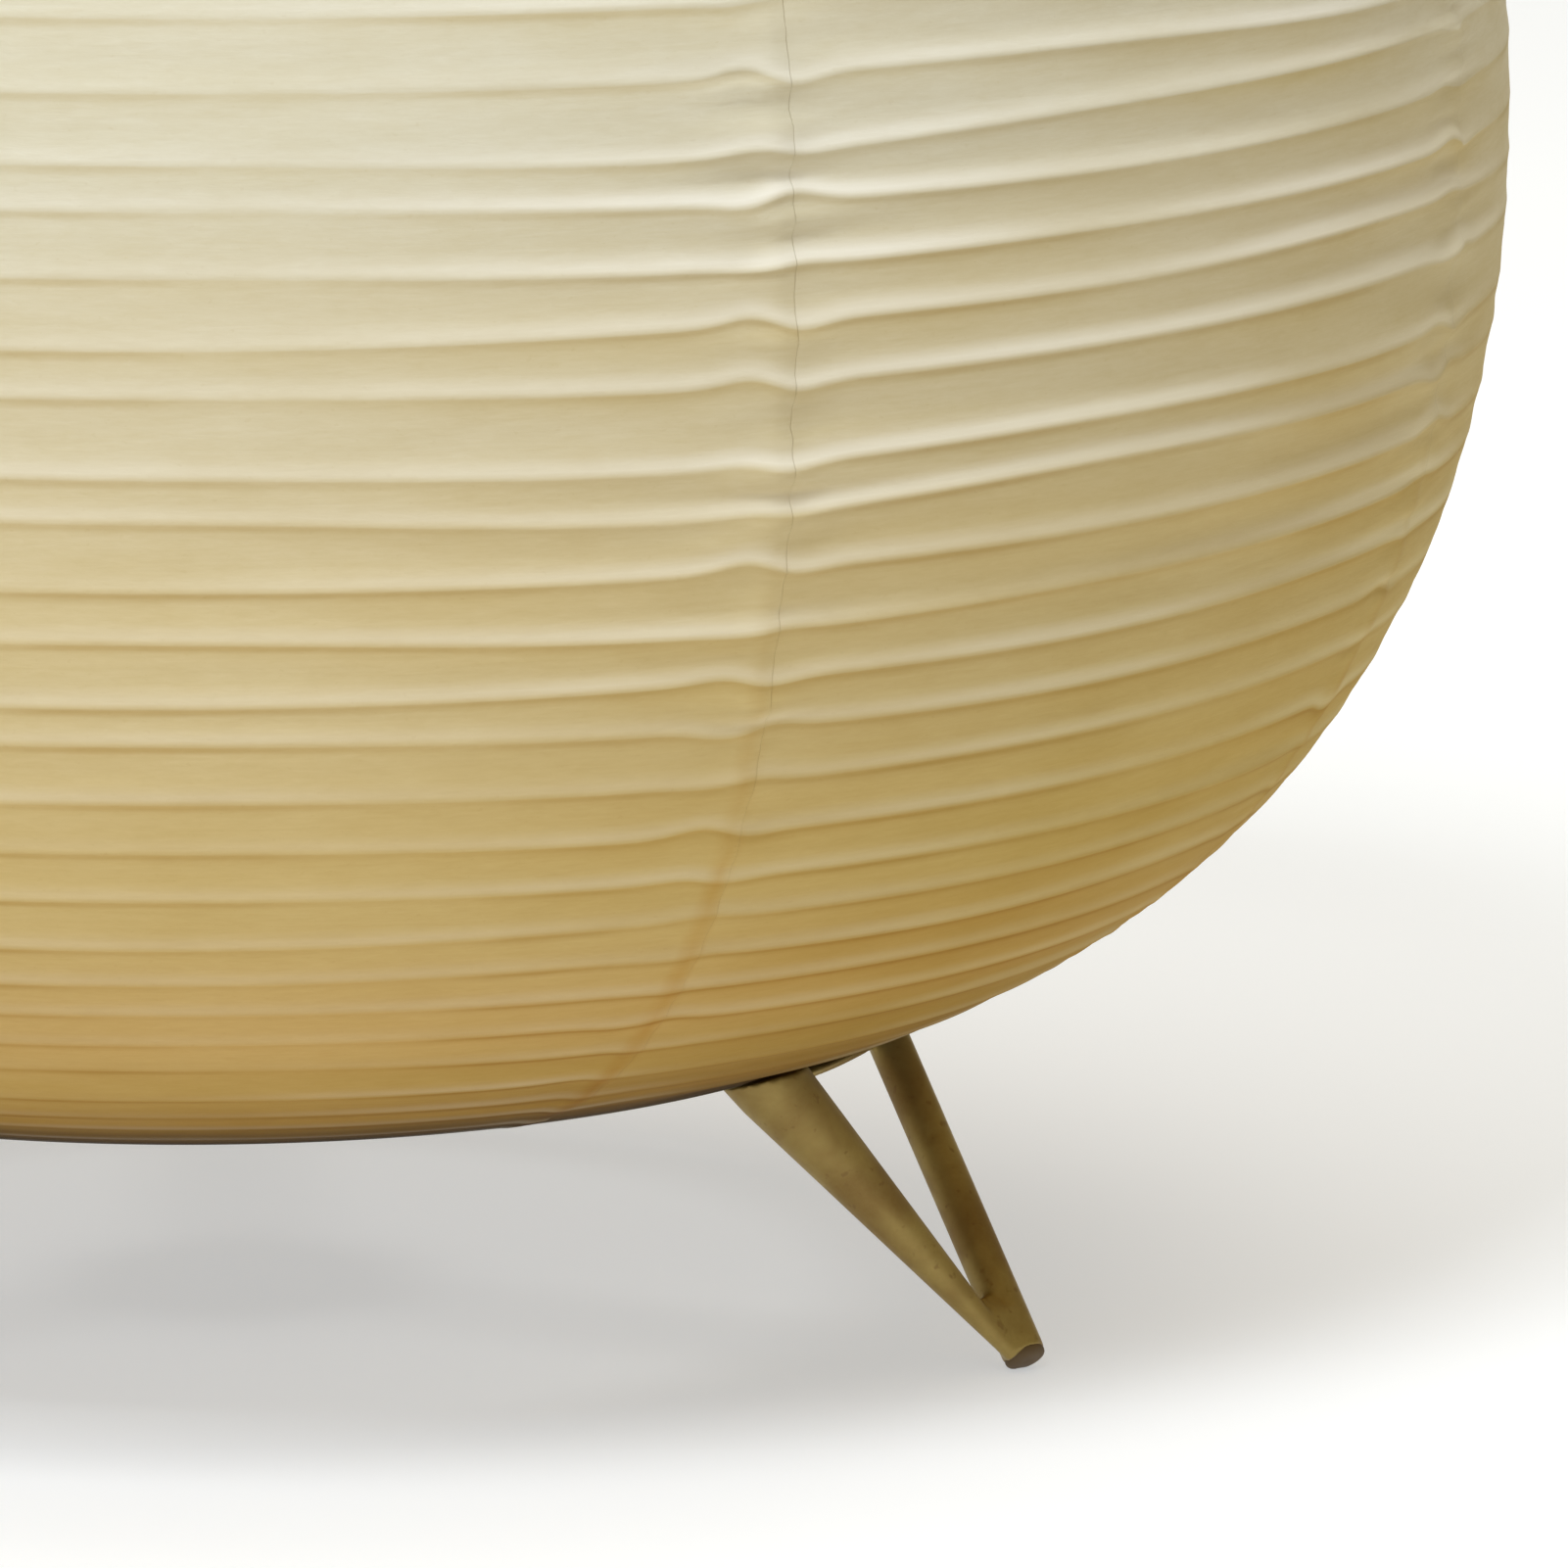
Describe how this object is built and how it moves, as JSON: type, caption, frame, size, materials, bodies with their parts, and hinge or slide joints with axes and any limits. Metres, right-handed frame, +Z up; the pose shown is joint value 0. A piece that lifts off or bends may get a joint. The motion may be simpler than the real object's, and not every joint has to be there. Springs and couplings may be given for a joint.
{
  "type": "paper lantern floor lamp",
  "caption": "Low floor lamp with a wide ribbed paper shade on V-shaped brass legs, a screw-in bulb, and a shade that lifts off and folds flat.",
  "frame": {"origin": "on the floor, on the vertical axis of the shade", "axes": "+Z up; the front of the lamp looks along -Y; legs stand at 30 degrees below +X, along +Y, and at 30 degrees below -X"},
  "size_m": [0.4982, 0.4982, 0.415],
  "materials": {
    "aged_brass": "satin, aged olive brass with a soft brushed sheen",
    "brass_small": "satin brass",
    "foot_tip": "matt dark tip",
    "steel_plate": "satin bronze paint on steel sheet",
    "zinc_steel": "zinc plated",
    "hoop_wire": "cream lacquered wire",
    "black_plastic": "matt moulded plastic",
    "holder_white": "smooth moulded white",
    "porcelain": "glazed white",
    "contact_brass": "bright pressed brass",
    "nickel": "nickel plated",
    "solder": "dull solder",
    "bulb_white": "smooth white",
    "led_aluminium": "white solder mask on aluminium",
    "bulb_opal": "frosted diffuser, softly lit",
    "washi_paper": "matt fibrous washi paper, softly lit from inside",
    "bamboo": "split bamboo strip"
  },
  "bodies": {
    "base": {"leg_1": "aged_brass", "leg_2": "aged_brass", "leg_3": "aged_brass", "foot_pad_1": "foot_tip", "foot_pad_2": "foot_tip", "foot_pad_3": "foot_tip", "base_plate": "steel_plate", "leg_screws": "brass_small", "leg_nuts": "zinc_steel", "gland_cap": "black_plastic", "gland_body": "black_plastic", "stem_nut": "zinc_steel", "stem_rod": "zinc_steel", "stem_washer": "brass_small", "stem_tube": "brass_small", "holder_cap": "holder_white", "holder_skirt": "holder_white", "holder_insert": "porcelain", "screw_shell": "contact_brass", "centre_contact": "contact_brass", "terminal_screws": "zinc_steel", "shade_ring": "holder_white", "harp": "brass_small", "harp_pin": "brass_small"},
    "shade": {"gore_1": "washi_paper", "gore_2": "washi_paper", "gore_3": "washi_paper", "gore_4": "washi_paper", "gore_5": "washi_paper", "gore_6": "washi_paper", "gore_7": "washi_paper", "gore_8": "washi_paper", "shade_ribs": "bamboo", "top_hoop": "hoop_wire", "top_spider": "brass_small"},
    "shade_foot": {"bottom_hoop": "hoop_wire"},
    "bulb_thread": {"bulb_contact": "solder"},
    "bulb": {"bulb_insulator": "black_plastic", "bulb_cap": "nickel", "bulb_housing": "bulb_white", "led_board": "led_aluminium", "bulb_globe": "bulb_opal"}
  },
  "joints": [
    {"name": "shade_lift", "type": "slide", "parent": "base", "child": "shade", "axis": [0, 0, 1], "range_m": [0, 0.4]},
    {"name": "shade_fold", "type": "slide", "parent": "shade", "child": "shade_foot", "axis": [0, 0, 1], "range_m": [0, 0.29], "deforming": ["gore_1", "gore_2", "gore_3", "gore_4", "gore_5", "gore_6", "gore_7", "gore_8", "shade_ribs"]},
    {"name": "bulb_rise", "type": "slide", "parent": "base", "child": "bulb_thread", "axis": [0, 0, 1], "range_m": [0, 0.02]},
    {"name": "bulb_turn", "type": "hinge", "parent": "bulb_thread", "child": "bulb", "pos_m": [0, 0, 0.182], "axis": [0, 0, 1], "range_deg": [0, 1980]}
  ],
  "couplings": [
    {"joint": "bulb_rise", "follows": "bulb_turn", "m_per_rad": 0.00057614}
  ]
}
